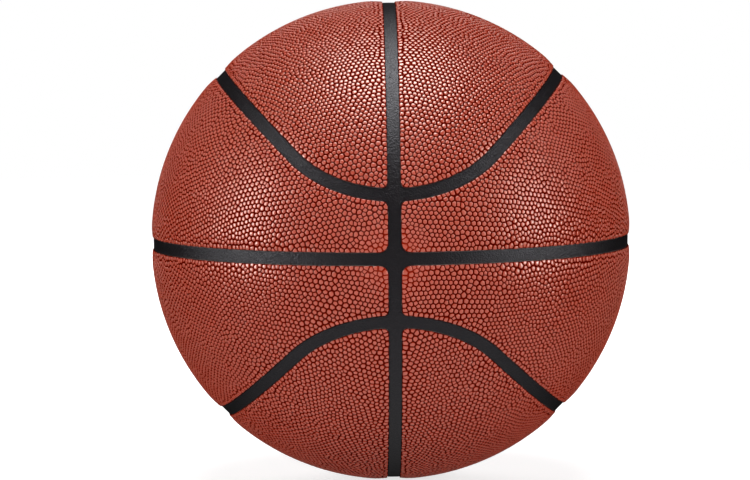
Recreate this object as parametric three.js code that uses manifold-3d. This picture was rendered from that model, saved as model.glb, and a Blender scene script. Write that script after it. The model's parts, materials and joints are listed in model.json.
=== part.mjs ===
// An inflated basketball, built from the inside out: a butyl bladder, a wound thread layer, a moulded
// rubber carcass whose raised ribs show as the black channels, eight sponge pads in the carcass pockets,
// eight cover panels, and an inflation valve with a plug that pulls out for replacement.
// Millimetres, +Z up, origin at the ball's centre. The front seam crossing faces -Y.
import * as THREE from 'three';
import { mergeVertices } from 'three/addons/utils/BufferGeometryUtils.js';
import Module from 'manifold-3d';

const wasm = await Module();
wasm.setup();

// Overall size and seam layout
const BALL_DIAMETER = 238.5;
const SEAM_BEND_RADIUS = 58.8;
const CHANNEL_WIDTH = 6.4;
const CHANNEL_DEPTH = 1.2;
const CROSSING_CORNER_RADIUS = 4.3;
const BEND_CORNER_RADIUS = 2.5;
const EDGE_ROLL_WIDTH = 6;
const EDGE_ROLL_DROP = 0.7;

// Layers, from the outside in, with the clearance that parts each layer from the next
const COVER_THICKNESS = 1.4;
const PAD_THICKNESS = 1;
const CARCASS_WALL = 2;
const WINDING_THICKNESS = 0.6;
const BLADDER_WALL = 0.8;
const CLEARANCE = 0.3;

// Valve: where its axis leaves the ball, then its rubber housing and plug
const VALVE_FROM_BACK_POLE = THREE.MathUtils.degToRad(45);
const VALVE_ABOVE_WAIST = THREE.MathUtils.degToRad(22.5);
const VALVE_RECESS = 1;
const NECK_RADIUS = 4.2;
const FLANGE_RADIUS = 10;
const FLANGE_THICKNESS = 1.6;
const BLADDER_BOSS_MARGIN = 3;
const BLADDER_BOSS_DEPTH = 3;
const TUBE_LENGTH = 14;
const PLUG_HEAD_RADIUS = 3;
const PLUG_HEAD_THICKNESS = 1.2;
const PLUG_STEM_RADIUS = 2.3;
const PLUG_LENGTH = 20;
const PLUG_TIP_RADIUS = 1.5;
const PLUG_TIP_LENGTH = 3;
const NEEDLE_HOLE_RADIUS = 0.5;
const NEEDLE_HOLE_DEPTH = 5;
const NEEDLE_FUNNEL_RADIUS = 1.1;
const NEEDLE_FUNNEL_DEPTH = 0.8;

// How finely the round shapes are divided
const BEND_STEPS = 4;
const STRAIGHT_STEPS = 5;
const CORNER_STEPS = 2;
const PANEL_ROWS = 4;
const RIB_FACETS = 5;
const INNER_FACETS = 4;
const VALVE_SIDES = 16;

// Radii of every layer
const BALL_RADIUS = BALL_DIAMETER / 2;
const RIB_TOP = BALL_RADIUS - CHANNEL_DEPTH;
const COVER_INNER = BALL_RADIUS - COVER_THICKNESS;
const PAD_OUTER = COVER_INNER - CLEARANCE;
const PAD_INNER = PAD_OUTER - PAD_THICKNESS;
const POCKET_FLOOR = PAD_INNER - CLEARANCE;
const CARCASS_INNER = POCKET_FLOOR - CARCASS_WALL;
const WINDING_OUTER = CARCASS_INNER - CLEARANCE;
const WINDING_INNER = WINDING_OUTER - WINDING_THICKNESS;
const BLADDER_OUTER = WINDING_INNER - CLEARANCE;
const BLADDER_INNER = BLADDER_OUTER - BLADDER_WALL;

const COMPOSITE = { color: 0xa04b3d, roughness: 0.45, metalness: 0 };
const SPONGE = { color: 0x4a4643, roughness: 0.95, metalness: 0 };
const CHANNEL_RUBBER = { color: 0x252427, roughness: 0.55, metalness: 0 };
const THREAD = { color: 0xd9d4c6, roughness: 0.8, metalness: 0 };
const BUTYL = { color: 0x1d1c1e, roughness: 0.5, metalness: 0 };
const VALVE_RUBBER = { color: 0x161517, roughness: 0.4, metalness: 0 };

function piece(name, geometry, finish) {
  geometry.computeVertexNormals();
  const mesh = new THREE.Mesh(geometry, new THREE.MeshStandardMaterial(finish));
  mesh.name = name;
  return mesh;
}

// Welds a geometry to shared corners and drops triangles that have closed up to a line
function weld(geometry) {
  const bare = geometry.clone();
  bare.deleteAttribute('normal');
  bare.deleteAttribute('uv');
  const welded = mergeVertices(bare, 1e-4);
  const index = welded.index.array;
  const kept = [];
  for (let i = 0; i < index.length; i += 3) {
    const [a, b, c] = index.slice(i, i + 3);
    if (a !== b && b !== c && c !== a) kept.push(a, b, c);
  }
  welded.setIndex(kept);
  return welded;
}

function toSolid(geometry) {
  const welded = weld(geometry);
  const vertProperties = new Float32Array(welded.attributes.position.array);
  const triVerts = new Uint32Array(welded.index.array);
  return new wasm.Manifold(new wasm.Mesh({ numProp: 3, vertProperties, triVerts }));
}

function toGeometry(solid) {
  const { vertProperties, triVerts } = solid.getMesh();
  const geometry = new THREE.BufferGeometry();
  geometry.setAttribute('position', new THREE.BufferAttribute(vertProperties, 3));
  geometry.setIndex(new THREE.BufferAttribute(triVerts, 1));
  return geometry;
}

function ball(radius, facets) {
  return toSolid(new THREE.IcosahedronGeometry(radius, facets));
}

// Seam layout on a unit sphere, worked out in the quarter with +X and +Z and mirrored to the others.
// The meridian seam lies in the plane X = 0 and the waist seam in Z = 0. The curved seam follows the plane
// halfway between them, and bends round a circle at each end so that it meets the meridian seam squarely.
const X_AXIS = new THREE.Vector3(1, 0, 0);
const Z_AXIS = new THREE.Vector3(0, 0, 1);
const HALFWAY = Math.PI / 4;
const HALFWAY_AXIS = new THREE.Vector3(-Math.sin(HALFWAY), 0, Math.cos(HALFWAY));
const BEND_ANGLE = Math.asin(SEAM_BEND_RADIUS / BALL_RADIUS);
const BEND_RISE = Math.asin(Math.sin(BEND_ANGLE) / Math.cos(HALFWAY));
const BEND_AXIS = new THREE.Vector3(0, -Math.cos(BEND_RISE), Math.sin(BEND_RISE));
const BEND_DOWN = new THREE.Vector3(0, -Math.sin(BEND_RISE), -Math.cos(BEND_RISE));
const BEND_FOOT = BEND_AXIS.clone().projectOnPlane(HALFWAY_AXIS).normalize();
const BEND_SWEEP = Math.atan2(BEND_FOOT.dot(X_AXIS), BEND_FOOT.dot(BEND_DOWN));

// A point at an angle from the bend's axis, turned from straight down towards +X
function bendPoint(fromAxis, turn) {
  const outward = BEND_DOWN.clone().multiplyScalar(Math.cos(turn)).addScaledVector(X_AXIS, Math.sin(turn));
  return outward.multiplyScalar(Math.sin(fromAxis)).addScaledVector(BEND_AXIS, Math.cos(fromAxis));
}

// The point nearest to a given one on the circle that runs at an offset beside the plane square to an axis
function besidePlane(point, axis, offset) {
  const along = point.clone().projectOnPlane(axis).normalize();
  return along.multiplyScalar(Math.cos(offset)).addScaledVector(axis, Math.sin(offset));
}

function halfwayPoint(angle) {
  return new THREE.Vector3(Math.cos(angle), 0, Math.sin(angle));
}

// Points along a circle about an axis, from one point to another
function arc(axis, from, to, steps) {
  const start = from.clone().projectOnPlane(axis);
  const end = to.clone().projectOnPlane(axis);
  const angle = Math.atan2(axis.dot(start.clone().cross(end)), start.dot(end));
  return Array.from({ length: steps + 1 }, (_, i) => from.clone().applyAxisAngle(axis, (angle * i) / steps));
}

function join(...arcs) {
  return arcs.flatMap((points, i) => (i === 0 ? points : points.slice(1)));
}

function mirrored(point, x, y, z) {
  return point.clone().multiply(new THREE.Vector3(x, y, z));
}

// Completes a run of points, drawn from the front as far as the side, on to the back
function frontToBack(points) {
  const back = points.slice(0, -1).reverse();
  return [...points, ...back.map((point) => mirrored(point, 1, -1, 1))];
}

function gridBetween(lower, upper) {
  return lower.map((start, i) =>
    Array.from({ length: PANEL_ROWS + 1 }, (_, j) => start.clone().lerp(upper[i], j / PANEL_ROWS).normalize()),
  );
}

// The panel between the waist seam and the curved seam, held back from both by an inset in millimetres
function waistGrid(inset) {
  const edge = inset / BALL_RADIUS;
  const lowCorner = CROSSING_CORNER_RADIUS / BALL_RADIUS;
  const highCorner = BEND_CORNER_RADIUS / BALL_RADIUS;

  const lowOffset = Math.sin(edge + lowCorner);
  const lowCentre = new THREE.Vector3(lowOffset, -Math.sqrt(1 - 2 * lowOffset ** 2), lowOffset);
  const waistStart = besidePlane(lowCentre, Z_AXIS, edge);
  const lower = join(
    arc(lowCentre, besidePlane(lowCentre, X_AXIS, edge), waistStart, CORNER_STEPS),
    arc(Z_AXIS, waistStart, besidePlane(X_AXIS, Z_AXIS, edge), BEND_STEPS + STRAIGHT_STEPS),
  );

  const highAngle = BEND_ANGLE + edge + highCorner;
  const highTurn = Math.asin(Math.sin(edge + highCorner) / Math.sin(highAngle));
  const highCentre = bendPoint(highAngle, highTurn);
  const bendStart = bendPoint(BEND_ANGLE + edge, highTurn);
  const bendEnd = bendPoint(BEND_ANGLE + edge, BEND_SWEEP);
  const upper = join(
    arc(highCentre, besidePlane(highCentre, X_AXIS, edge), bendStart, CORNER_STEPS),
    arc(BEND_AXIS, bendStart, bendEnd, BEND_STEPS),
    arc(HALFWAY_AXIS, bendEnd, halfwayPoint(HALFWAY - edge), STRAIGHT_STEPS),
  );
  return gridBetween(frontToBack(lower), frontToBack(upper));
}

// The panel between the curved seam and the meridian seam, which comes to one corner at each end
function crownGrid(inset) {
  const edge = inset / BALL_RADIUS;
  const corner = BEND_CORNER_RADIUS / BALL_RADIUS;
  const cornerAngle = BEND_ANGLE - edge - corner;
  const cornerTurn = Math.asin(Math.sin(edge + corner) / Math.sin(cornerAngle));
  const centre = bendPoint(cornerAngle, cornerTurn);
  const meridianStart = besidePlane(centre, X_AXIS, edge);
  const bendStart = bendPoint(BEND_ANGLE - edge, cornerTurn);
  const bendEnd = bendPoint(BEND_ANGLE - edge, BEND_SWEEP);
  const rounding = arc(centre, meridianStart, bendStart, 2 * CORNER_STEPS);
  const tip = rounding[CORNER_STEPS];

  const lower = join(
    arc(centre, tip, bendStart, CORNER_STEPS),
    arc(BEND_AXIS, bendStart, bendEnd, BEND_STEPS),
    arc(HALFWAY_AXIS, bendEnd, halfwayPoint(HALFWAY + edge), STRAIGHT_STEPS),
  );
  const upper = join(
    arc(centre, tip, meridianStart, CORNER_STEPS),
    arc(X_AXIS, meridianStart, besidePlane(Z_AXIS, X_AXIS, edge), BEND_STEPS + STRAIGHT_STEPS),
  );
  return gridBetween(frontToBack(lower), frontToBack(upper));
}

// A mirrored grid has its rows turned round, so that it still faces outwards
function placeGrid(grid, side, level) {
  const placed = grid.map((column) => column.map((point) => mirrored(point, side, 1, level)));
  return side * level > 0 ? placed : placed.map((column) => column.reverse());
}

function rimOf(grid) {
  const first = grid[0];
  const last = grid[grid.length - 1];
  return [
    ...grid.map((column) => column[0]),
    ...last.slice(1),
    ...grid.slice(0, -1).reverse().map((column) => column[column.length - 1]),
    ...first.slice(1, -1).reverse(),
  ];
}

// A closed curved slab. Each level is a grid and a radius, from the outer face to the inner one
function slab(levels) {
  const corners = [];
  const addQuad = (a, b, c, d) => corners.push(a, b, c, a, c, d);
  const spread = levels.map(({ grid, radius }) =>
    grid.map((column) => column.map((point) => point.clone().multiplyScalar(radius))),
  );
  const outer = spread[0];
  const inner = spread[spread.length - 1];
  for (let i = 0; i + 1 < outer.length; i++) {
    for (let j = 0; j + 1 < outer[i].length; j++) {
      addQuad(outer[i][j], outer[i + 1][j], outer[i + 1][j + 1], outer[i][j + 1]);
      addQuad(inner[i][j], inner[i][j + 1], inner[i + 1][j + 1], inner[i + 1][j]);
    }
  }
  const rims = spread.map(rimOf);
  for (let level = 0; level + 1 < rims.length; level++) {
    const above = rims[level];
    const below = rims[level + 1];
    above.forEach((point, i) => {
      const next = (i + 1) % above.length;
      addQuad(point, below[i], below[next], above[next]);
    });
  }
  return weld(new THREE.BufferGeometry().setFromPoints(corners));
}

// Distances along the valve's axis from the ball's centre
const VALVE_TOP = BALL_RADIUS - VALVE_RECESS;
const BOSS_FACE = BLADDER_INNER - BLADDER_BOSS_DEPTH;
const FLANGE_TOP = BOSS_FACE - CLEARANCE;
const FLANGE_BOTTOM = FLANGE_TOP - FLANGE_THICKNESS;
const TUBE_BOTTOM = FLANGE_BOTTOM - TUBE_LENGTH;
const PLUG_BOTTOM = VALVE_TOP - PLUG_LENGTH;
const HEAD_UNDERSIDE = VALVE_TOP - PLUG_HEAD_THICKNESS;
const HEAD_SEAT = HEAD_UNDERSIDE - CLEARANCE;

// The valve leaves the upper left waist panel at the back, on the panel's middle line
const VALVE_AXIS = new THREE.Vector3(
  -Math.sin(VALVE_FROM_BACK_POLE) * Math.cos(VALVE_ABOVE_WAIST),
  Math.cos(VALVE_FROM_BACK_POLE),
  Math.sin(VALVE_FROM_BACK_POLE) * Math.sin(VALVE_ABOVE_WAIST),
);
const VALVE_TURN = new THREE.Quaternion().setFromUnitVectors(Z_AXIS, VALVE_AXIS);

// A round bar along the valve's axis, as a cutter or a boss
function valveBar(radius, from, to) {
  const bar = new THREE.CylinderGeometry(radius, radius, to - from, VALVE_SIDES);
  bar.rotateX(Math.PI / 2);
  bar.translate(0, 0, (from + to) / 2);
  bar.applyQuaternion(VALVE_TURN);
  return toSolid(bar);
}

// A turned valve piece from radius and height pairs
function turned(profile) {
  const points = profile.map(([radius, height]) => new THREE.Vector2(radius, height));
  const lathe = new THREE.LatheGeometry(points, VALVE_SIDES);
  lathe.rotateX(Math.PI / 2);
  return weld(lathe);
}

const NECK_HOLE_RADIUS = NECK_RADIUS + CLEARANCE;
const neckHole = valveBar(NECK_HOLE_RADIUS, BOSS_FACE - FLANGE_THICKNESS, BALL_RADIUS + CHANNEL_WIDTH);

function drilled(solid) {
  return toGeometry(solid.subtract(neckHole));
}

function housing() {
  const bore = PLUG_STEM_RADIUS + CLEARANCE;
  const headBore = PLUG_HEAD_RADIUS + CLEARANCE;
  return turned([
    [bore, TUBE_BOTTOM],
    [NECK_RADIUS, TUBE_BOTTOM],
    [NECK_RADIUS, FLANGE_BOTTOM],
    [FLANGE_RADIUS, FLANGE_BOTTOM],
    [FLANGE_RADIUS, FLANGE_TOP],
    [NECK_RADIUS, FLANGE_TOP],
    [NECK_RADIUS, VALVE_TOP],
    [headBore, VALVE_TOP],
    [headBore, HEAD_SEAT],
    [bore, HEAD_SEAT],
    [bore, TUBE_BOTTOM],
  ]);
}

function plug() {
  return turned([
    [0, PLUG_BOTTOM],
    [PLUG_TIP_RADIUS, PLUG_BOTTOM],
    [PLUG_STEM_RADIUS, PLUG_BOTTOM + PLUG_TIP_LENGTH],
    [PLUG_STEM_RADIUS, HEAD_UNDERSIDE],
    [PLUG_HEAD_RADIUS, HEAD_UNDERSIDE],
    [PLUG_HEAD_RADIUS, VALVE_TOP],
    [NEEDLE_FUNNEL_RADIUS, VALVE_TOP],
    [NEEDLE_HOLE_RADIUS, VALVE_TOP - NEEDLE_FUNNEL_DEPTH],
    [NEEDLE_HOLE_RADIUS, VALVE_TOP - NEEDLE_HOLE_DEPTH],
    [0, VALVE_TOP - NEEDLE_HOLE_DEPTH],
  ]);
}

function valve() {
  const group = new THREE.Group();
  group.quaternion.copy(VALVE_TURN);
  group.add(piece('valve_housing', housing(), VALVE_RUBBER));
  group.add(piece('valve_plug', plug(), VALVE_RUBBER));
  return group;
}

// The eight panel places: a waist and a crown panel in each quarter, seen from the front
const PLACES = [];
for (const [levelName, level] of [['upper', 1], ['lower', -1]]) {
  for (const [sideName, side] of [['left', -1], ['right', 1]]) {
    for (const [rowName, grid] of [['waist', waistGrid], ['crown', crownGrid]]) {
      const gridAt = (inset) => placeGrid(grid(inset), side, level);
      PLACES.push({ name: `${levelName}_${sideName}_${rowName}`, gridAt });
    }
  }
}
const PANEL_INSET = CHANNEL_WIDTH / 2;

function coverPanel({ name, gridAt }) {
  const edge = gridAt(PANEL_INSET);
  const body = slab([
    { grid: gridAt(PANEL_INSET + EDGE_ROLL_WIDTH), radius: BALL_RADIUS },
    { grid: edge, radius: BALL_RADIUS - EDGE_ROLL_DROP },
    { grid: edge, radius: COVER_INNER },
  ]);
  return piece(`${name}_panel`, drilled(toSolid(body)), COMPOSITE);
}

function spongePad({ name, gridAt }) {
  const grid = gridAt(PANEL_INSET);
  const body = slab([{ grid, radius: PAD_OUTER }, { grid, radius: PAD_INNER }]);
  return piece(`${name}_pad`, drilled(toSolid(body)), SPONGE);
}

// The carcass is a thick shell with a pocket sunk for each panel, which leaves the ribs standing
function carcass() {
  let body = ball(RIB_TOP, RIB_FACETS).subtract(ball(CARCASS_INNER, INNER_FACETS));
  for (const { gridAt } of PLACES) {
    const grid = gridAt(PANEL_INSET - CLEARANCE);
    const pocket = slab([
      { grid, radius: BALL_RADIUS + CHANNEL_WIDTH },
      { grid, radius: POCKET_FLOOR },
    ]);
    body = body.subtract(toSolid(pocket));
  }
  return piece('rubber_carcass', drilled(body), CHANNEL_RUBBER);
}

function threadWinding() {
  const body = ball(WINDING_OUTER, INNER_FACETS).subtract(ball(WINDING_INNER, INNER_FACETS));
  return piece('thread_winding', drilled(body), THREAD);
}

// The bladder is thickened to a flat boss where the valve housing's flange seats
function bladder() {
  const boss = valveBar(FLANGE_RADIUS + BLADDER_BOSS_MARGIN, BOSS_FACE, BALL_RADIUS);
  const hollow = ball(BLADDER_INNER, INNER_FACETS).subtract(boss);
  return piece('air_bladder', drilled(ball(BLADDER_OUTER, INNER_FACETS).subtract(hollow)), BUTYL);
}

const basketball = new THREE.Group();
basketball.add(...PLACES.map(coverPanel));
basketball.add(...PLACES.map(spongePad));
basketball.add(carcass(), threadWinding(), bladder(), valve());

export default basketball;
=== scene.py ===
import functools
import json
import math

import bpy
import numpy as np
from mathutils import Matrix, Vector
from mathutils.geometry import delaunay_2d_cdt


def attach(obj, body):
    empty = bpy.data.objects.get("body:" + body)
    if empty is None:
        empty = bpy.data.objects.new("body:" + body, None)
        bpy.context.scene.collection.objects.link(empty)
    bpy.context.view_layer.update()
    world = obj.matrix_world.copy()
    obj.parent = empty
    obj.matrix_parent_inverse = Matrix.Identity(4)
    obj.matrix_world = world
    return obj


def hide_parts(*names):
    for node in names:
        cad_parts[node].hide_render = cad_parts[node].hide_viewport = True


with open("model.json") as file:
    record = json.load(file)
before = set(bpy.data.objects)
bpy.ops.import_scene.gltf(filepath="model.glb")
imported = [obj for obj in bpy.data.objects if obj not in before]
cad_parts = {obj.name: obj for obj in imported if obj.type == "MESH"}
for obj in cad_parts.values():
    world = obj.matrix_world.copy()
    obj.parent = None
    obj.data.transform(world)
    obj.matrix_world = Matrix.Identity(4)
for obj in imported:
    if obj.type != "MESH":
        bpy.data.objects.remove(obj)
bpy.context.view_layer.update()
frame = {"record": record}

MM = 0.001
TINY = 1e-12
RNG = np.random.default_rng(7)

# The ball's main sizes, the radius and the valve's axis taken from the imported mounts
mounts = {mount["name"]: mount for mount in frame["record"]["mounts"]}
BALL_RADIUS = -mounts["cradle_seat"]["pos_m"][2]
VALVE_AXIS = np.array(mounts["needle_face"]["axis"], float)
VALVE_AXIS /= np.linalg.norm(VALVE_AXIS)
CLEARANCE = 0.3 * MM
CHANNEL_HALF = 3.2 * MM
CHANNEL_DEPTH = 1.2 * MM
CROSSING_CORNER = 4.3 * MM
BEND_CORNER = 2.5 * MM
SEAM_BEND_RADIUS = 58.8 * MM

# The layers from the cover in to the bladder
COVER_THICKNESS = 1.4 * MM
PAD_THICKNESS = 1.0 * MM
CARCASS_WALL = 2.0 * MM
WINDING_THICKNESS = 0.6 * MM
BLADDER_WALL = 0.8 * MM
RIB_TOP = BALL_RADIUS - CHANNEL_DEPTH
COVER_INNER = BALL_RADIUS - COVER_THICKNESS
PAD_OUTER = COVER_INNER - CLEARANCE
PAD_INNER = PAD_OUTER - PAD_THICKNESS
POCKET_FLOOR = PAD_INNER - CLEARANCE
CARCASS_INNER = POCKET_FLOOR - CARCASS_WALL
WINDING_OUTER = CARCASS_INNER - CLEARANCE
WINDING_INNER = WINDING_OUTER - WINDING_THICKNESS
BLADDER_OUTER = WINDING_INNER - CLEARANCE
BLADDER_INNER = BLADDER_OUTER - BLADDER_WALL

# The valve's sizes, with heights from the ball's middle
NECK_RADIUS = 4.2 * MM
NECK_HOLE = NECK_RADIUS + CLEARANCE
VALVE_INSET = 1.0 * MM
VALVE_TOP = BALL_RADIUS - VALVE_INSET
BOSS_THICKNESS = 3.0 * MM
BOSS_FACE = BLADDER_INNER - BOSS_THICKNESS
BOSS_RADIUS = 13.0 * MM
BOSS_FILLET = 2.0 * MM
FLANGE_RADIUS = 10.0 * MM
FLANGE_THICKNESS = 1.6 * MM
FLANGE_TOP = BOSS_FACE - CLEARANCE
FLANGE_BOTTOM = FLANGE_TOP - FLANGE_THICKNESS
TUBE_LENGTH = 14.0 * MM
TUBE_BOTTOM = FLANGE_BOTTOM - TUBE_LENGTH
PLUG_HEAD_RADIUS = 3.0 * MM
PLUG_HEAD_THICKNESS = 1.2 * MM
PLUG_HEAD_BOTTOM = VALVE_TOP - PLUG_HEAD_THICKNESS
PLUG_STEM_RADIUS = 2.3 * MM
PLUG_TIP_RADIUS = 1.5 * MM
PLUG_TIP_LENGTH = 3.0 * MM
PLUG_LENGTH = 20.0 * MM
PLUG_BOTTOM = VALVE_TOP - PLUG_LENGTH
NEEDLE_HOLE_RADIUS = 0.5 * MM
NEEDLE_HOLE_DEPTH = 5.0 * MM
NEEDLE_HOLE_BOTTOM = VALVE_TOP - NEEDLE_HOLE_DEPTH
NEEDLE_FUNNEL_RADIUS = 1.1 * MM
NEEDLE_FUNNEL_DEPTH = 0.8 * MM
NEEDLE_FUNNEL_BOTTOM = VALVE_TOP - NEEDLE_FUNNEL_DEPTH
STEM_BORE = PLUG_STEM_RADIUS + CLEARANCE
HEAD_BORE = PLUG_HEAD_RADIUS + CLEARANCE
HEAD_SEAT = PLUG_HEAD_BOTTOM - CLEARANCE

# How finely the pieces are worked, and how their edges are eased
SHELL_STEPS = 5
CARCASS_STEPS = 6
HOLE_REACHES = (14 * MM, 7 * MM, 3 * MM)
RIB_REACHES = (5 * MM, 2.5 * MM)
PAD_REACHES = (4 * MM, 2 * MM)
PAD_MARGIN = 6 * MM
PAD_EDGE = 0.25 * MM
HOUSING_EDGE = 0.25 * MM
PLUG_EDGE = 0.15 * MM
TURNED_SIDES = 48
WELD = 0.001 * MM
SMOOTH_ANGLE = math.radians(40)

# The pebbles, each with three rings of points, given by how wide, how round and how high they are
PEBBLE_PITCH = 2.47 * MM
PEBBLE_HEIGHT = 0.66 * MM
PEBBLE_HEIGHT_SPREAD = (0.8, 1.15)
PEBBLE_STRAY = 0.48 * MM
PEBBLE_TILT = 0.03
PEBBLE_RINGS = [(0.80, 0.12, 0.07), (0.70, 0.3, 0.82), (0.43, 0.5, 0.96)]

# The sheet of wavy pebble rows that is laid on each panel, its reach in radians, its half width in radii
WAIST_TILT = math.radians(22.5)
CROWN_TILT = math.radians(67.5)
ROWS_EACH_WAY = 100
ROW_BEARING = math.pi / 6
ROW_TURN = 0.15
WAVE_COUNT = 3
WAVE_LENGTH = (40 * MM, 90 * MM)
WAVE_HEIGHT = 0.9 * MM
SHEET_REACH = 0.55 * math.pi
SHEET_HALF_WIDTH = 0.7
INNER_ROW_DEPTH = 1.0 * PEBBLE_PITCH

# The row of pebbles along each outline, and how all of them are eased apart
WAIST_START = math.radians(10)
CROWN_START = math.radians(80)
EDGE_ROW_DEPTH = 0.42 * PEBBLE_PITCH
EDGE_ROW_PITCH = 0.95 * PEBBLE_PITCH
EDGE_STRAY = 0.32 * MM
EDGE_STEP = 1.0 * MM
EDGE_STEPS_LEAST = 10
EDGE_POINTS = 1
HOLE_RING_POINTS = 60
OUTLINE_ROUNDS = 4
IMAGE_DEPTH = 1.2 * PEBBLE_PITCH
RELAX_ROUNDS = 3
RELAX_STEP = 0.5

# Where the cover rolls down, and its pebbles flatten and get less painted shade in their gaps
PANEL_ROLL = 8.5 * MM
PANEL_DROP = 0.65 * MM
EDGE_RELIEF = 0.8
EDGE_FADE = 11 * MM
CROSSING_RELIEF = 0.3
CROSSING_FADE = 45 * MM
COLLAR_WIDTH = 1.8 * MM
COLLAR_FADE = 3.5 * MM
# How strongly a pebble's relief sets the painted shade in its gaps
SHADE_GAIN = 1.3

# The ways that the thread is wound, as turns in radians
THREAD_TURNS = [(0.3, 0.2, 0.1), (1.4, 0.3, 0.9), (0.5, 1.3, 2.0), (2.2, 0.8, 0.4), (1.0, 2.1, 1.5)]

# The camera, the floor's glow from near the ball to far away, and the sky
CAMERA_DISTANCE = 15.75 * BALL_RADIUS
CAMERA_AZIMUTH = math.radians(-0.72)
CAMERA_ELEVATION = math.radians(4.45)
CAMERA_ROLL = math.radians(-0.55)
CAMERA_SENSOR = 36
CAMERA_LENS = 180.7
AIM_RIGHT = -7.82 * MM
AIM_UP = -0.18 * MM
WHITE = (1, 1, 1, 1)
FLOOR_SIZE = 5
FLOOR_GREY = (0.6, 0.6, 0.6, 1)
FLOOR_NEAR = 0.12
FLOOR_FAR = 0.55
FLOOR_NEAR_GLOW = 0.7
FLOOR_FAR_GLOW = 1.0
BRIGHTEST_SKY = (0, -0.45, -0.89)
SKY_EDGE = 0.2
SKY_DIM = 0.01
SKY_BRIGHT = 0.5

PANELS = [
    f"{level}_{side}_{place}"
    for level in ("lower", "upper")
    for side in ("left", "right")
    for place in ("waist", "crown")
]


def unit(points):
    return points / np.linalg.norm(points, axis=-1, keepdims=True)


# The seam plan on a ball of radius 1, as the solids have it
STRAIGHT_TILT = math.pi / 4
BEND_ANGLE = math.asin(SEAM_BEND_RADIUS / BALL_RADIUS)
BEND_HEIGHT = math.asin(math.sin(BEND_ANGLE) / math.cos(STRAIGHT_TILT))
HALFWAY = np.array([-math.sin(STRAIGHT_TILT), 0, math.cos(STRAIGHT_TILT)])
BEND_AXIS = np.array([0, -math.cos(BEND_HEIGHT), math.sin(BEND_HEIGHT)])
BEND_FOOT = unit(BEND_AXIS - HALFWAY * (BEND_AXIS @ HALFWAY))
BEND_SIDE = -np.cross(BEND_AXIS, BEND_FOOT)


def rounded_corner(first, second, radius):
    """Depth inside two edges that meet at a rounded corner."""
    inside = radius - np.hypot(radius - first, radius - second)
    return np.where((first < radius) & (second < radius), inside, np.minimum(first, second))


def over_curve(directions):
    """Distance to the curved seam's middle, positive on the crown side."""
    folded = np.abs(directions) * (1, -1, 1)
    straight = np.arcsin(np.clip(folded @ HALFWAY, -1, 1))
    bent = BEND_ANGLE - np.arccos(np.clip(folded @ BEND_AXIS, -1, 1))
    return np.where(folded @ BEND_SIDE > 0, bent, straight) * BALL_RADIUS


def panel_sides(number):
    """Which side, level and place a panel has, from its number in PANELS."""
    return (1 if number & 2 else -1), (1 if number & 4 else -1), bool(number & 1)


def panel_depth(directions, number, pierced=True):
    """How far each direction lies inside one panel, negative outside it and in the valve's hole."""
    side, level, crown = panel_sides(number)
    meridian = np.arcsin(np.clip(side * directions[:, 0], -1, 1)) * BALL_RADIUS - CHANNEL_HALF
    waist = np.arcsin(np.clip(level * directions[:, 2], -1, 1)) * BALL_RADIUS - CHANNEL_HALF
    curve = over_curve(directions)
    if crown:
        return np.minimum(rounded_corner(meridian, curve - CHANNEL_HALF, BEND_CORNER), waist)
    depth = np.minimum(
        rounded_corner(meridian, waist, CROSSING_CORNER),
        rounded_corner(meridian, -curve - CHANNEL_HALF, BEND_CORNER),
    )
    return np.minimum(depth, -hole_depth(directions)) if pierced else depth


def seam_depth(directions):
    """How far each direction lies inside whichever panel is there, negative in a channel."""
    return np.max([panel_depth(directions, number, False) for number in range(len(PANELS))], axis=0)


def hole_depth(directions):
    """How far each direction lies inside the hole for the valve's neck."""
    return NECK_HOLE - np.arccos(np.clip(directions @ VALVE_AXIS, -1, 1)) * BALL_RADIUS


def tangents(directions):
    """Two unit tangents at each direction, square to each other."""
    nearly_upright = 0.9
    helper = np.where(np.abs(directions[:, 2:]) < nearly_upright, (0, 0, 1), (1, 0, 0))
    across = unit(np.cross(helper, directions))
    return across, np.cross(directions, across)


def inward_step(directions, depth_of):
    """Unit tangents that point straight into the panel, and the depth there."""
    small = 1e-4
    inward = 0
    for way in tangents(directions):
        rise = depth_of(unit(directions + small * way)) - depth_of(unit(directions - small * way))
        inward = inward + way * rise[:, None]
    return inward / np.maximum(np.linalg.norm(inward, axis=1, keepdims=True), TINY), depth_of(directions)


def onto_outline(directions, level, depth_of):
    """The directions moved straight in or out until they lie at this depth."""
    for _ in range(OUTLINE_ROUNDS):
        inward, depth = inward_step(directions, depth_of)
        directions = unit(directions + inward * ((level - depth) / BALL_RADIUS)[:, None])
    return directions


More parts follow.
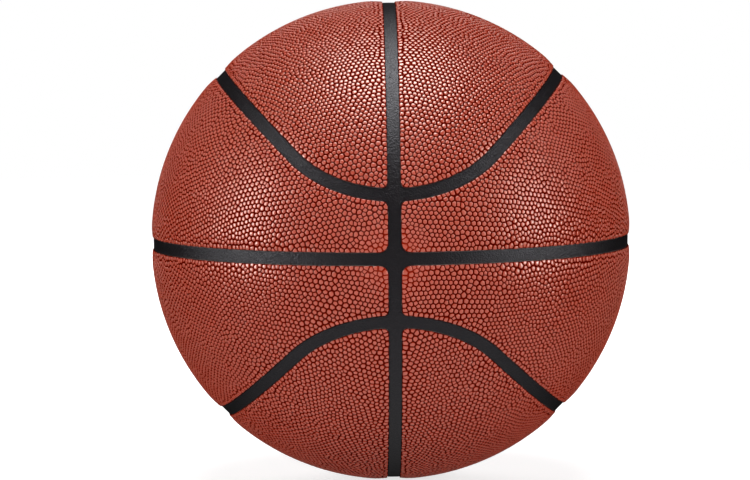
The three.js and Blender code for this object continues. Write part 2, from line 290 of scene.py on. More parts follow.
# Where the pebbles go: wavy rows, a row along each outline, all eased apart
def rows_of_pebbles(number):
    """Pebbles in wavy rows, as on a flat sheet laid along the panel."""
    side, level, crown = panel_sides(number)
    tilt = CROWN_TILT if crown else WAIST_TILT
    middle = np.array([side * math.cos(tilt), 0, level * math.sin(tilt)])
    ahead = np.array([0, 1, 0])
    across = np.cross(middle, ahead)
    every_row = slice(-ROWS_EACH_WAY, ROWS_EACH_WAY + 1)
    row, column = (grid.reshape(-1) for grid in np.mgrid[every_row, every_row])
    flat = np.stack([column + 0.5 * (row % 2), row * math.sqrt(3) / 2], axis=1) * PEBBLE_PITCH
    turn = ROW_BEARING + RNG.uniform(-ROW_TURN, ROW_TURN)
    flat = flat @ np.array([[math.cos(turn), math.sin(turn)], [-math.sin(turn), math.cos(turn)]])
    for _ in range(WAVE_COUNT):
        bearing, push = RNG.uniform(0, 2 * math.pi, 2)
        wave = flat @ (math.cos(bearing), math.sin(bearing)) * (2 * math.pi / RNG.uniform(*WAVE_LENGTH))
        shift = WAVE_HEIGHT * np.sin(wave + RNG.uniform(0, 2 * math.pi))
        flat = flat + shift[:, None] * (math.cos(push), math.sin(push))
    flat = flat + RNG.normal(0, PEBBLE_STRAY, flat.shape)
    along, over = (flat / BALL_RADIUS).T
    kept = (np.abs(along) < SHEET_REACH) & (np.abs(over) < SHEET_HALF_WIDTH)
    along, over = along[kept, None], over[kept, None]
    return np.sqrt(1 - over ** 2) * (np.cos(along) * middle + np.sin(along) * ahead) + over * across


def evenly_along(path, pitch):
    """Points at an even pitch round a closed path."""
    closed = np.concatenate([path, path[:1]])
    run = np.concatenate([[0], np.cumsum(np.linalg.norm(np.diff(closed, axis=0), axis=1))])
    count = round(run[-1] * BALL_RADIUS / pitch)
    places = np.arange(count) * run[-1] / count
    return unit(np.stack([np.interp(places, run, closed[:, k]) for k in range(3)], axis=1))


@functools.cache
def edge_row(crown):
    """One row of pebbles that follows the outline of the upper right panel of this kind."""
    number = PANELS.index("upper_right_crown" if crown else "upper_right_waist")
    depth_of = functools.partial(panel_depth, number=number, pierced=False)
    start = CROWN_START if crown else WAIST_START
    here = np.array([[math.cos(start), 0, math.sin(start)]])
    here = onto_outline(here, EDGE_ROW_DEPTH, depth_of)
    path = [here[0]]
    while len(path) < EDGE_STEPS_LEAST or np.linalg.norm(here - path[0]) * BALL_RADIUS > EDGE_STEP:
        inward = inward_step(here, depth_of)[0]
        ahead = unit(here + np.cross(here, inward) * EDGE_STEP / BALL_RADIUS)
        here = onto_outline(ahead, EDGE_ROW_DEPTH, depth_of)
        path.append(here[0])
    return onto_outline(evenly_along(np.array(path), EDGE_ROW_PITCH), EDGE_ROW_DEPTH, depth_of)


def hole_row():
    """One row of pebbles round the valve's hole."""
    reach = (NECK_HOLE + EDGE_ROW_DEPTH) / BALL_RADIUS
    turn = np.linspace(0, 2 * math.pi, HOLE_RING_POINTS, endpoint=False)[:, None]
    across, along = tangents(VALVE_AXIS[None])
    ring = VALVE_AXIS * math.cos(reach) + (across * np.cos(turn) + along * np.sin(turn)) * math.sin(reach)
    return evenly_along(ring, EDGE_ROW_PITCH)


def joined_up(directions):
    """Triangles between neighbouring directions, found on a flat map that keeps circles round."""
    skew = (0.3, 0.5, 0.8)
    middle = unit(directions.mean(axis=0))
    across = unit(np.cross(skew, middle))
    along = np.cross(middle, across)
    flat = np.stack([directions @ across, directions @ along], axis=1) / (1 + directions @ middle)[:, None]
    points = [Vector(point) for point in flat.tolist()]
    _, _, triangles, *_ = delaunay_2d_cdt(points, [], [], 0, TINY, False)
    return np.array(triangles)


def pebble_sites(number, depth_of):
    """Pebble centres of a panel, the same with images past the outline, and the joins between those."""
    side, level, crown = panel_sides(number)
    edge = edge_row(crown) * (side, 1, level)
    if panel_depth(VALVE_AXIS[None], number, False)[0] > 0:
        edge = np.concatenate([edge, hole_row()])
    edge = unit(edge + RNG.normal(0, EDGE_STRAY / BALL_RADIUS, edge.shape))
    sites = rows_of_pebbles(number)
    sites = np.concatenate([edge, sites[depth_of(sites) > INNER_ROW_DEPTH]])
    for turn in range(RELAX_ROUNDS + 1):
        inward, depth = inward_step(sites, depth_of)
        near = depth < IMAGE_DEPTH
        images = unit(sites[near] - inward[near] * (2 * depth[near] / BALL_RADIUS)[:, None])
        every = np.concatenate([sites, images])
        corners = joined_up(every)
        if turn == RELAX_ROUNDS:
            return sites, every, corners
        total = np.zeros_like(every)
        count = np.zeros(len(every))
        for k in range(3):
            np.add.at(total, corners[:, k], every[corners[:, k - 1]] + every[corners[:, k - 2]])
            np.add.at(count, corners[:, k], 2)
        middle = unit(total[: len(sites)] / count[: len(sites), None])
        sites = unit(sites + RELAX_STEP * (middle - sites))


def next_in_cell(site):
    """For each corner in order, the number of the next corner of the same cell."""
    follow = np.arange(len(site)) + 1
    last = np.flatnonzero(np.diff(site, append=-1))
    follow[last] = np.concatenate([[0], last[:-1] + 1])
    return follow


def pebble_cells(sites, every, corners, depth_of):
    """The corners of the cell round each site, in order, with those on the outline set exactly on it."""
    a, b, c = (every[corners[:, k]] for k in range(3))
    middles = unit(np.cross(b - a, c - a))
    on_edge = (corners >= len(sites)).any(axis=1)
    site = corners.reshape(-1)
    corner = np.repeat(np.arange(len(corners)), 3)
    real = site < len(sites)
    site, corner = site[real], corner[real]
    across, along = tangents(sites)
    offset = (a + b + c)[corner] / 3 - sites[site]
    bearing = np.arctan2(
        np.einsum("ij,ij->i", offset, along[site]), np.einsum("ij,ij->i", offset, across[site])
    )
    order = np.lexsort((bearing, site))
    site, corner = site[order], corner[order]
    middles[on_edge] = onto_outline(middles[on_edge], 0.0, depth_of)
    follow = next_in_cell(site)
    way_on = corner * len(middles) + corner[follow]
    way_back = corner[follow] * len(middles) + corner
    border = ~np.isin(way_on, way_back)
    parts = np.arange(1, EDGE_POINTS + 1) / (EDGE_POINTS + 1)
    starts, ends = middles[corner[border]], middles[corner[follow][border]]
    between = starts[:, None] + (ends - starts)[:, None] * parts[None, :, None]
    between = onto_outline(unit(between.reshape(-1, 3)), 0.0, depth_of)
    slots = np.repeat(np.flatnonzero(border) + 1, EDGE_POINTS)
    corner = np.insert(corner, slots, np.arange(len(between)) + len(middles))
    site = np.insert(site, slots, np.repeat(site[border], EDGE_POINTS))
    return np.concatenate([middles, between]), site, corner


# The cover panels
def rolled_radius(depth):
    """The cover's height, which rolls down towards its outline."""
    inside = np.clip(depth / PANEL_ROLL, 0, 1)
    return BALL_RADIUS - PANEL_DROP * (1 - inside) ** 2


def pebble_relief(centres, depth_of):
    """The share of height that pebbles keep by the outline, the valve's collar and the crossings."""
    by_edge = np.clip(EDGE_RELIEF + depth_of(centres) / EDGE_FADE, 0, 1)
    by_collar = np.clip((-hole_depth(centres) - COLLAR_WIDTH) / COLLAR_FADE, 0, 1)
    off_crossing = BALL_RADIUS * np.arccos(np.clip(np.abs(centres[:, 1]), 0, 1))
    by_crossing = np.clip(CROSSING_RELIEF + off_crossing / CROSSING_FADE, 0, 1)
    return by_edge * by_collar * by_crossing


def build_panel(name, middles, site, corner, depth_of):
    """One cover panel: a dome on each cell, a wall round the outline and a plain underside."""
    used, corner = np.unique(corner, return_inverse=True)
    cells, cell, sizes = np.unique(site, return_inverse=True, return_counts=True)
    heights = RNG.uniform(*PEBBLE_HEIGHT_SPREAD, len(cells))
    tilts = RNG.normal(0, PEBBLE_TILT, (len(cells), 3)) * BALL_RADIUS
    rim = middles[used]
    first = np.concatenate([[0], np.cumsum(sizes)[:-1]])
    follow = next_in_cell(site)
    centre = np.zeros((len(cells), 3))
    np.add.at(centre, cell, rim[corner])
    centre = centre / sizes[:, None]
    spoke = rim[corner] - centre[cell]
    length = np.linalg.norm(spoke, axis=1)
    mean_length = np.bincount(cell, length) / sizes
    relief = pebble_relief(unit(centre), depth_of)
    rise = PEBBLE_HEIGHT * heights * relief
    # How much painted shade a pebble's flanks and gaps get, less where its relief is low
    shade = np.clip(relief * SHADE_GAIN, 0, 1)

    def lifted(directions, below):
        return unit(directions) * (rolled_radius(depth_of(unit(directions))) - below)[:, None]

    def at_corners(values):
        """The mean at each corner of what the cells round it have."""
        return np.bincount(corner, values[cell]) / np.bincount(corner)

    # pebble_level runs from 0 in the gaps to 1 on the tops, and the cover paints shade into the gaps from
    # it
    points = [lifted(rim, at_corners(rise))]
    level = [1 - at_corners(shade)]
    rings = [corner]
    total = len(rim)
    for scale, roundness, high in PEBBLE_RINGS:
        reach = scale * ((1 - roundness) + roundness * mean_length[cell] / np.maximum(length, TINY))
        ring = spoke * reach[:, None]
        leaning = np.einsum("ij,ij->i", ring, tilts[cell])
        points.append(lifted(centre[cell] + ring, (1 - high) * rise[cell] - leaning))
        level.append(1 - (1 - high) * shade[cell])
        rings.append(np.arange(len(corner)) + total)
        total += len(corner)
    points.append(lifted(centre, np.zeros(len(cells))))
    level.append(np.ones(len(cells)))
    peak = np.arange(len(cells)) + total
    points.append(rim * COVER_INNER)
    level.append(np.zeros(len(rim)))
    under = np.arange(len(rim)) + total + len(cells)

    faces = []
    for lower, upper in zip(rings[:-1], rings[1:]):
        faces += np.stack([lower, lower[follow], upper[follow], upper], axis=1).tolist()
    faces += np.stack([rings[-1], rings[-1][follow], peak[cell]], axis=1).tolist()
    for start, size in zip(first, sizes):
        faces.append(under[corner[start : start + size]][::-1].tolist())
    sides = dict.fromkeys(zip(corner.tolist(), corner[follow].tolist()))
    border = [(here, there) for here, there in sides if (there, here) not in sides]
    faces += [[under[here], under[there], there, here] for here, there in border]

    mesh = bpy.data.meshes.new(name)
    mesh.from_pydata(np.concatenate(points).tolist(), [], faces)
    mesh.attributes.new("pebble_level", "FLOAT", "POINT").data.foreach_set("value", np.concatenate(level))
    mesh.shade_smooth()
    ends = np.zeros(len(mesh.edges) * 2, np.int32)
    mesh.edges.foreach_get("vertices", ends)
    on_border = np.zeros(len(mesh.vertices), bool)
    on_border[[here for here, there in border]] = True
    sharp = on_border[ends.reshape(-1, 2)].all(axis=1)
    mesh.attributes.new("sharp_edge", "BOOLEAN", "EDGE").data.foreach_set("value", sharp)
    piece = bpy.data.objects.new(name, mesh)
    bpy.context.collection.objects.link(piece)
    return piece


# Materials
def new_material(name):
    material = bpy.data.materials.new(name)
    material.use_nodes = True
    tree = material.node_tree
    return material, tree, tree.nodes["Principled BSDF"]


def place_on_piece(tree):
    return tree.nodes.new("ShaderNodeTexCoord").outputs["Object"]


def fine_noise(tree, scale, detail, rough=0.5):
    noise = tree.nodes.new("ShaderNodeTexNoise")
    noise.inputs["Scale"].default_value = scale
    noise.inputs["Detail"].default_value = detail
    noise.inputs["Roughness"].default_value = rough
    tree.links.new(place_on_piece(tree), noise.inputs["Vector"])
    return noise.outputs["Fac"]


def ramp(tree, source, stops, socket):
    """Feeds a socket with the colours of these stops, as the source rises."""
    node = tree.nodes.new("ShaderNodeValToRGB")
    elements = node.color_ramp.elements
    while len(elements) < len(stops):
        elements.new(0.5)
    for element, (place, colour) in zip(elements, stops):
        element.position = place
        element.color = (*colour, 1)
    tree.links.new(source, node.inputs["Fac"])
    tree.links.new(node.outputs["Color"], socket)


def map_range(tree, source, start, end, low, high):
    node = tree.nodes.new("ShaderNodeMapRange")
    node.inputs["From Min"].default_value = start
    node.inputs["From Max"].default_value = end
    node.inputs["To Min"].default_value = low
    node.inputs["To Max"].default_value = high
    tree.links.new(source, node.inputs["Value"])
    return node.outputs["Result"]


def surface(shader, rough, gloss):
    shader.inputs["Roughness"].default_value = rough
    shader.inputs["Specular IOR Level"].default_value = gloss


def bump(tree, shader, source, strength, depth):
    node = tree.nodes.new("ShaderNodeBump")
    node.inputs["Strength"].default_value = strength
    node.inputs["Distance"].default_value = depth
    tree.links.new(source, node.inputs["Height"])
    tree.links.new(node.outputs["Normal"], shader.inputs["Normal"])


def cover_material():
    """Composite in its red on the pebble tops, painted darker down their flanks and in the gaps as shade;
    dull in the gaps, glossy on the tops.
    """
    gap_painted_shade, flank_painted_shade, top = (0.072, 0.0025, 0.0008), (0.21, 0.0115, 0.0036), (0.41, 0.036, 0.0095)
    dull, glossy = (0.0, 0.0, 0.0), (1.0, 1.0, 1.0)
    material, tree, shader = new_material("pebbled_composite")
    level = tree.nodes.new("ShaderNodeAttribute")
    level.attribute_name = "pebble_level"
    height = level.outputs["Fac"]
    # Painted shade: the base colour darkens from the pebble tops down the flanks into the gaps
    ramp(tree, height, [(0.05, gap_painted_shade), (0.5, flank_painted_shade), (0.88, top)], shader.inputs["Base Color"])
    ramp(tree, height, [(0.62, dull), (0.92, glossy)], shader.inputs["Specular IOR Level"])
    shader.inputs["Roughness"].default_value = 0.3
    shader.inputs["IOR"].default_value = 2.0
    shader.inputs["Specular Tint"].default_value = (1.0, 0.96, 0.88, 1)
    bump(tree, shader, fine_noise(tree, scale=2200, detail=3), strength=0.25, depth=0.04 * MM)
    return material


def rubber_material():
    """Black moulded rubber with a finely speckled face."""
    black, grey = (0.0018, 0.0012, 0.0016), (0.008, 0.006, 0.0075)
    material, tree, shader = new_material("channel_rubber")
    speckle = fine_noise(tree, scale=1300, detail=2)
    ramp(tree, speckle, [(0.35, black), (0.75, grey)], shader.inputs["Base Color"])
    surface(shader, rough=0.38, gloss=0.7)
    shader.inputs["Specular Tint"].default_value = (0.95, 0.94, 1.0, 1)
    bump(tree, shader, speckle, strength=1.0, depth=0.4 * MM)
    return material


def plain_rubber_material(name, scale, dark, light, rough, gloss):
    """Smooth rubber with a faint mottle."""
    material, tree, shader = new_material(name)
    mottle = fine_noise(tree, scale, detail=4, rough=0.6)
    ramp(tree, mottle, [(0.3, dark), (0.7, light)], shader.inputs["Base Color"])
    surface(shader, rough, gloss)
    bump(tree, shader, mottle, strength=0.3, depth=0.08 * MM)
    return material


def sponge_material():
    """Grey foam with small open cells, their hollows painted dark as shade."""
    pore_painted_shade, wall = (0.035, 0.033, 0.031), (0.16, 0.155, 0.148)
    material, tree, shader = new_material("sponge")
    cells = tree.nodes.new("ShaderNodeTexVoronoi")
    cells.inputs["Scale"].default_value = 1900
    tree.links.new(place_on_piece(tree), cells.inputs["Vector"])
    # Painted shade: the middles of the cells are darker than their walls
    ramp(tree, cells.outputs["Distance"], [(0.05, pore_painted_shade), (0.55, wall)], shader.inputs["Base Color"])
    surface(shader, rough=0.95, gloss=0.15)
    bump(tree, shader, cells.outputs["Distance"], strength=0.8, depth=0.3 * MM)
    return material


def thread_material():
    """Threads laid round the ball in several directions, each as a set of fine bands."""
    shadow, nylon = (0.16, 0.14, 0.10), (0.62, 0.58, 0.48)
    material, tree, shader = new_material("nylon_thread")
    place = place_on_piece(tree)
    top = None
    for turn in THREAD_TURNS:
        lay = tree.nodes.new("ShaderNodeMapping")
        lay.inputs["Rotation"].default_value = turn
        tree.links.new(place, lay.inputs["Vector"])
        bands = tree.nodes.new("ShaderNodeTexWave")
        bands.inputs["Scale"].default_value = 240
        bands.inputs["Distortion"].default_value = 1.5
        bands.inputs["Detail Scale"].default_value = 0.3
        tree.links.new(lay.outputs["Vector"], bands.inputs["Vector"])
        if top is None:
            top = bands.outputs["Fac"]
            continue
        over = tree.nodes.new("ShaderNodeMath")
        over.operation = "MAXIMUM"
        tree.links.new(top, over.inputs[0])
        tree.links.new(bands.outputs["Fac"], over.inputs[1])
        top = over.outputs["Value"]
    ramp(tree, top, [(0.45, shadow), (0.98, nylon)], shader.inputs["Base Color"])
    surface(shader, rough=0.55, gloss=0.4)
    bump(tree, shader, top, strength=0.8, depth=0.3 * MM)
    return material


# Working a piece in edit mode, and fitting it to the frame
def only_active(piece):
    bpy.ops.object.select_all(action="DESELECT")
    piece.select_set(True)
    bpy.context.view_layer.objects.active = piece


def read_points(piece):
    points = np.zeros(len(piece.data.vertices) * 3)
    piece.data.vertices.foreach_get("co", points)
    return points.reshape(-1, 3)


def write_points(piece, points):
    piece.data.vertices.foreach_set("co", points.reshape(-1))
    piece.data.update()


def face_middles(piece):
    middles = np.zeros(len(piece.data.polygons) * 3)
    piece.data.polygons.foreach_get("center", middles)
    return middles.reshape(-1, 3)


def choose_faces(piece, chosen):
    """Enters edit mode with only these faces selected."""
    only_active(piece)
    bpy.ops.object.mode_set(mode="EDIT")
    bpy.ops.mesh.select_mode(type="FACE")
    bpy.ops.mesh.select_all(action="DESELECT")
    bpy.ops.object.mode_set(mode="OBJECT")
    piece.data.polygons.foreach_set("select", chosen)
    bpy.ops.object.mode_set(mode="EDIT")


def edit_edges(piece):
    """Enters edit mode with no edge selected."""
    only_active(piece)
    bpy.ops.object.mode_set(mode="EDIT")
    bpy.ops.mesh.select_mode(type="EDGE")
    bpy.ops.mesh.select_all(action="DESELECT")


def remove_faces(piece, chosen):
    choose_faces(piece, chosen)
    bpy.ops.mesh.delete(type="FACE")
    bpy.ops.object.mode_set(mode="OBJECT")


def thicken(piece, thickness):
    """Gives an open skin its thickness, inwards."""
    only_active(piece)
    bpy.ops.object.modifier_add(type="SOLIDIFY")
    piece.modifiers[-1].thickness = thickness
    piece.modifiers[-1].offset = -1
    bpy.ops.object.modifier_apply(modifier=piece.modifiers[-1].name)


def soften_edges(piece, offset, segments, angle):
    """Rounds the edges that turn by more than this many degrees."""
    edit_edges(piece)
    bpy.ops.mesh.edges_select_sharp(sharpness=math.radians(angle))
    bpy.ops.mesh.bevel(offset=offset, segments=segments, affect="EDGES")
    bpy.ops.object.mode_set(mode="OBJECT")


def smooth_faces(piece):
    only_active(piece)
    bpy.ops.object.shade_smooth_by_angle(angle=SMOOTH_ANGLE)


def fit_piece(piece, body, node, material):
    """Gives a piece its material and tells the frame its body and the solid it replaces."""
    piece.data.materials.append(material)
    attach(piece, body)
    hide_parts(node)


# The shells, pads and turned pieces
def ball(name, radius, subdivisions):
    bpy.ops.object.select_all(action="DESELECT")
    bpy.ops.mesh.primitive_ico_sphere_add(subdivisions=subdivisions, radius=radius)
    piece = bpy.context.object
    piece.name = name
    return piece


def draw_outline(piece, radius, depth_of, level, reaches):
    """Works the faces near an outline finer, sets their border on it and says which faces lie inside."""
    for reach in reaches:
        choose_faces(piece, np.abs(depth_of(unit(face_middles(piece))) - level) < reach)
        bpy.ops.mesh.subdivide(number_cuts=1)
        bpy.ops.object.mode_set(mode="OBJECT")
        write_points(piece, unit(read_points(piece)) * radius)
    inside = depth_of(unit(face_middles(piece))) > level
    beside = [np.zeros(len(piece.data.vertices), bool) for _ in range(2)]
    for face, within in zip(piece.data.polygons, inside):
        beside[int(within)][list(face.vertices)] = True
    border = beside[0] & beside[1]
    points = unit(read_points(piece))
    points[border] = onto_outline(points[border], level, depth_of)
    write_points(piece, points * radius)
    return inside


def in_hole(piece):
    return hole_depth(unit(face_middles(piece))) > 0


def build_carcass():
    """The carcass: a ball with the pockets pressed in, hollow, with a hole through for the valve."""
    inside = ball("carcass_inside", CARCASS_INNER, SHELL_STEPS)
    draw_outline(inside, CARCASS_INNER, hole_depth, 0, HOLE_REACHES)
    remove_faces(inside, in_hole(inside))
    only_active(inside)
    bpy.ops.object.mode_set(mode="EDIT")
    bpy.ops.mesh.select_all(action="SELECT")
    bpy.ops.mesh.flip_normals()
    bpy.ops.object.mode_set(mode="OBJECT")
    piece = ball("rubber_ribs", RIB_TOP, CARCASS_STEPS)
    draw_outline(piece, RIB_TOP, hole_depth, 0, HOLE_REACHES[1:])
    draw_outline(piece, RIB_TOP, seam_depth, -CLEARANCE, RIB_REACHES)
    choose_faces(piece, seam_depth(unit(face_middles(piece))) > -CLEARANCE)
    bpy.ops.mesh.extrude_region_move()
    sink = POCKET_FLOOR / RIB_TOP
    bpy.ops.transform.resize(value=(sink, sink, sink), center_override=(0, 0, 0))
    bpy.ops.object.mode_set(mode="OBJECT")
    remove_faces(piece, in_hole(piece))
    only_active(piece)
    inside.select_set(True)
    bpy.ops.object.join()
    edit_edges(piece)
    bpy.ops.mesh.select_non_manifold()
    bpy.ops.mesh.bridge_edge_loops()
    bpy.ops.object.mode_set(mode="OBJECT")
    smooth_faces(piece)
    return piece


def build_layer(name, outer, inner):
    """A thin round layer with a hole for the valve."""
    piece = ball(name, outer, SHELL_STEPS)
    draw_outline(piece, outer, hole_depth, 0, HOLE_REACHES)
    remove_faces(piece, in_hole(piece))
    thicken(piece, outer - inner)
    return piece


def raise_boss(piece):
    """Thickens the bladder inwards to a flat boss round the valve's hole."""
    points = read_points(piece)
    height = points @ VALVE_AXIS
    aside = points - height[:, None] * VALVE_AXIS
    apart = np.linalg.norm(aside, axis=1)
    inner = (np.linalg.norm(points, axis=1) < (BLADDER_OUTER + BLADDER_INNER) / 2) & (height > 0)
    share = np.clip((BOSS_RADIUS + BOSS_FILLET - apart) / BOSS_FILLET, 0, 1)
    share = np.where(inner, share * share * (3 - 2 * share), 0)
    height = height + share * (BOSS_FACE - height)
    write_points(piece, aside + height[:, None] * VALVE_AXIS)


def build_thread_layer():
    piece = build_layer("thread_layer", WINDING_OUTER, WINDING_INNER)
    smooth_faces(piece)
    return piece


def build_bladder():
    piece = build_layer("bladder", BLADDER_OUTER, BLADDER_INNER)
    raise_boss(piece)
    smooth_faces(piece)
    return piece


def build_pad(name, number):
    """A sponge pad cut to one panel's outline."""
    depth_of = functools.partial(panel_depth, number=number)
    piece = ball(name, PAD_OUTER, SHELL_STEPS)
    remove_faces(piece, depth_of(unit(face_middles(piece))) < -PAD_MARGIN)
    inside = draw_outline(piece, PAD_OUTER, depth_of, 0, PAD_REACHES)
    remove_faces(piece, ~inside)
    thicken(piece, PAD_OUTER - PAD_INNER)
    soften_edges(piece, PAD_EDGE, segments=2, angle=60)
    smooth_faces(piece)
    return piece


def turned(name, profile, is_ring, edge):
    """A piece turned to a profile of radii and heights, its edges eased, laid along the valve's axis."""
    bpy.ops.object.select_all(action="DESELECT")
    fill = "NOTHING" if is_ring else "NGON"
    bpy.ops.mesh.primitive_circle_add(vertices=TURNED_SIDES, radius=profile[0][0], fill_type=fill)
    piece = bpy.context.object
    piece.name = name
    bpy.ops.object.mode_set(mode="EDIT")
    bpy.ops.mesh.select_all(action="SELECT")
    bpy.ops.transform.translate(value=(0, 0, profile[0][1]))
    for (radius, height), (next_radius, next_height) in zip(profile, profile[1:]):
        bpy.ops.mesh.extrude_region_move()
        grow = next_radius / radius
        bpy.ops.transform.resize(value=(grow, grow, 1), center_override=(0, 0, 0))
        bpy.ops.transform.translate(value=(0, 0, next_height - height))
    bpy.ops.mesh.select_all(action="SELECT")
    bpy.ops.mesh.remove_doubles(threshold=WELD)
    bpy.ops.mesh.normals_make_consistent(inside=False)
    bpy.ops.object.mode_set(mode="OBJECT")
    soften_edges(piece, edge, segments=3, angle=35)
    piece.rotation_euler = Vector(VALVE_AXIS).to_track_quat("Z", "Y").to_euler()
    only_active(piece)
    bpy.ops.object.transform_apply(location=True, rotation=True, scale=True)
    smooth_faces(piece)
    return piece


def build_valve_body():
    """The housing: an open head, a neck, a flange and a tube, bored through."""
    profile = [
        (STEM_BORE, TUBE_BOTTOM),
        (NECK_RADIUS, TUBE_BOTTOM),
        (NECK_RADIUS, FLANGE_BOTTOM),
        (FLANGE_RADIUS, FLANGE_BOTTOM),
        (FLANGE_RADIUS, FLANGE_TOP),
        (NECK_RADIUS, FLANGE_TOP),
        (NECK_RADIUS, VALVE_TOP),
        (HEAD_BORE, VALVE_TOP),
        (HEAD_BORE, HEAD_SEAT),
        (STEM_BORE, HEAD_SEAT),
        (STEM_BORE, TUBE_BOTTOM),
    ]
    return turned("valve_body", profile, True, HOUSING_EDGE)


def build_valve_core():
    """The plug: a needle's hole in a flat head, over a stem with a tapered tip."""
    profile = [
        (NEEDLE_HOLE_RADIUS, NEEDLE_HOLE_BOTTOM),
        (NEEDLE_HOLE_RADIUS, NEEDLE_FUNNEL_BOTTOM),
        (NEEDLE_FUNNEL_RADIUS, VALVE_TOP),
        (PLUG_HEAD_RADIUS, VALVE_TOP),
        (PLUG_HEAD_RADIUS, PLUG_HEAD_BOTTOM),
        (PLUG_STEM_RADIUS, PLUG_HEAD_BOTTOM),
        (PLUG_STEM_RADIUS, PLUG_BOTTOM + PLUG_TIP_LENGTH),
        (PLUG_TIP_RADIUS, PLUG_BOTTOM),
    ]
    return turned("valve_core", profile, False, PLUG_EDGE)


# The pieces of the ball, each in its material
cover = cover_material()
rubber = rubber_material()
sponge = sponge_material()
thread = thread_material()
butyl = plain_rubber_material(
    "butyl_rubber", scale=300, rough=0.36, gloss=0.45,
    dark=(0.004, 0.004, 0.0045), light=(0.011, 0.011, 0.012),
)
valve = plain_rubber_material(
    "valve_rubber", scale=900, rough=0.5, gloss=0.4,
    dark=(0.008, 0.0075, 0.0075), light=(0.02, 0.019, 0.019),
)
for number, panel in enumerate(PANELS):
    depth_of = functools.partial(panel_depth, number=number)
    cells = pebble_cells(*pebble_sites(number, depth_of), depth_of)
    piece = build_panel(f"{panel}_cover", *cells, depth_of)
    fit_piece(piece, "ball", f"{panel}_panel", cover)
fit_piece(build_carcass(), "ball", "rubber_carcass", rubber)
fit_piece(build_thread_layer(), "ball", "thread_winding", thread)
fit_piece(build_bladder(), "ball", "air_bladder", butyl)
for number, panel in enumerate(PANELS):
    pad = build_pad(f"{panel}_sponge", number)
    fit_piece(pad, "ball", f"{panel}_pad", sponge)
fit_piece(build_valve_body(), "ball", "valve_housing", valve)
fit_piece(build_valve_core(), "plug", "valve_plug", valve)


# Camera, floor and light
def set_camera():
    """A long lens a little above the waist seam, aimed so that the ball sits right of the middle."""
    back = Vector((
        math.sin(CAMERA_AZIMUTH) * math.cos(CAMERA_ELEVATION),
        -math.cos(CAMERA_AZIMUTH) * math.cos(CAMERA_ELEVATION),
        math.sin(CAMERA_ELEVATION),
    ))
    level_right = Vector((math.cos(CAMERA_AZIMUTH), math.sin(CAMERA_AZIMUTH), 0))
    level_up = back.cross(level_right)
    right = level_right * math.cos(CAMERA_ROLL) + level_up * math.sin(CAMERA_ROLL)
    up = level_up * math.cos(CAMERA_ROLL) - level_right * math.sin(CAMERA_ROLL)
    aim = right * AIM_RIGHT + up * AIM_UP
    lens = bpy.data.cameras.new("photo_camera")
    lens.sensor_width = CAMERA_SENSOR
    lens.lens = CAMERA_LENS
    camera = bpy.data.objects.new("photo_camera", lens)
    bpy.context.collection.objects.link(camera)
    camera.matrix_world = Matrix((
        (right.x, up.x, back.x, aim.x + back.x * CAMERA_DISTANCE),
        (right.y, up.y, back.y, aim.y + back.y * CAMERA_DISTANCE),
        (right.z, up.z, back.z, aim.z + back.z * CAMERA_DISTANCE),
        (0, 0, 0, 1),
    ))
    bpy.context.scene.camera = camera


def lay_floor():
    """A pale floor that glows for camera rays alone, more so away from the ball, to keep the shadow."""
    bpy.ops.object.select_all(action="DESELECT")
    bpy.ops.mesh.primitive_plane_add(size=FLOOR_SIZE, location=(0, 0, -BALL_RADIUS))
    floor = bpy.context.object
    floor.name = "pale_floor"
    material, tree, shader = new_material("pale_floor")
    shader.inputs["Base Color"].default_value = FLOOR_GREY
    surface(shader, rough=0.8, gloss=0.0)
    away = tree.nodes.new("ShaderNodeVectorMath")
    away.operation = "LENGTH"
    tree.links.new(place_on_piece(tree), away.inputs[0])
    glow = map_range(tree, away.outputs["Value"], FLOOR_NEAR, FLOOR_FAR, FLOOR_NEAR_GLOW, FLOOR_FAR_GLOW)
    path = tree.nodes.new("ShaderNodeLightPath")
    seen = tree.nodes.new("ShaderNodeMath")
    seen.operation = "MULTIPLY"
    tree.links.new(path.outputs["Is Camera Ray"], seen.inputs[0])
    tree.links.new(glow, seen.inputs[1])
    shader.inputs["Emission Color"].default_value = WHITE
    tree.links.new(seen.outputs["Value"], shader.inputs["Emission Strength"])
    floor.data.materials.append(material)
    floor.visible_glossy = False


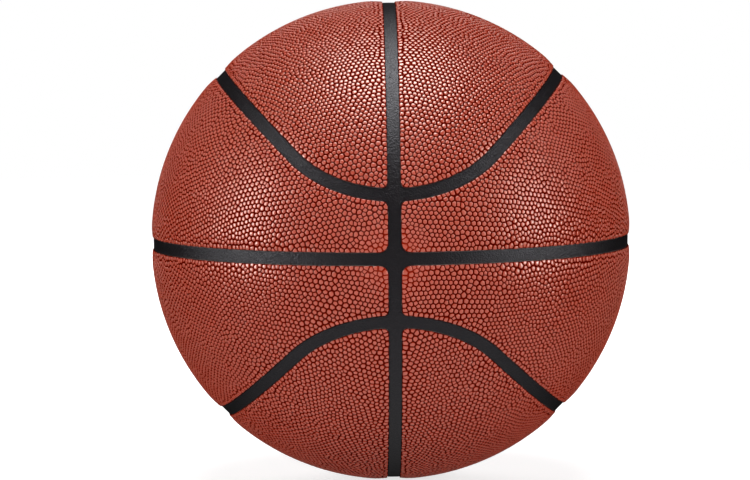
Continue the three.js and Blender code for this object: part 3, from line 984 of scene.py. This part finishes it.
def soft_box(name, way, distance, width, height, power, mirrored=True):
    """A rectangular lamp on one side of the ball, which the gloss mirrors or not."""
    lamp = bpy.data.lights.new(name, "AREA")
    lamp.shape = "RECTANGLE"
    lamp.size = width
    lamp.size_y = height
    lamp.energy = power
    box = bpy.data.objects.new(name, lamp)
    outward = Vector(way).normalized()
    box.location = outward * distance
    box.rotation_euler = outward.to_track_quat("Z", "Y").to_euler()
    box.visible_glossy = mirrored
    box.visible_camera = False
    bpy.context.collection.objects.link(box)


def light_sky():
    """A dim sky, brightest below the front, where the floor hides it from all but the gloss.

    Camera rays see plain white instead.
    """
    world = bpy.data.worlds.new("studio")
    bpy.context.scene.world = world
    world.use_nodes = True
    tree = world.node_tree
    sky = tree.nodes["Background"]
    sky.inputs["Color"].default_value = WHITE
    place = tree.nodes.new("ShaderNodeTexCoord")
    toward = tree.nodes.new("ShaderNodeVectorMath")
    toward.operation = "DOT_PRODUCT"
    toward.inputs[1].default_value = BRIGHTEST_SKY
    tree.links.new(place.outputs["Generated"], toward.inputs[0])
    fade = map_range(tree, toward.outputs["Value"], SKY_EDGE, 1.0, SKY_DIM, SKY_BRIGHT)
    tree.links.new(fade, sky.inputs["Strength"])
    backdrop = tree.nodes.new("ShaderNodeBackground")
    backdrop.inputs["Color"].default_value = WHITE
    backdrop.inputs["Strength"].default_value = 1.0
    path = tree.nodes.new("ShaderNodeLightPath")
    mix = tree.nodes.new("ShaderNodeMixShader")
    tree.links.new(path.outputs["Is Camera Ray"], mix.inputs["Fac"])
    tree.links.new(sky.outputs["Background"], mix.inputs[1])
    tree.links.new(backdrop.outputs["Background"], mix.inputs[2])
    tree.links.new(mix.outputs["Shader"], tree.nodes["World Output"].inputs["Surface"])


set_camera()
lay_floor()
soft_box("top_box", way=(0, -0.07, 0.99), distance=1.3, width=0.98, height=0.92, power=16)
soft_box("left_box", way=(-0.93, -0.335, 0.17), distance=1.3, width=0.34, height=0.8, power=7)
soft_box("right_box", way=(0.92, -0.36, 0.175), distance=1.3, width=0.34, height=0.8, power=5.8)
soft_box("front_fill", way=(0, -1, 0), distance=1.5, width=1.2, height=0.2, power=16, mirrored=False)
soft_box("back_fill", way=(0, 1, 0.25), distance=1.5, width=1.6, height=0.6, power=20, mirrored=False)
light_sky()
bpy.context.scene.view_settings.view_transform = "Standard"
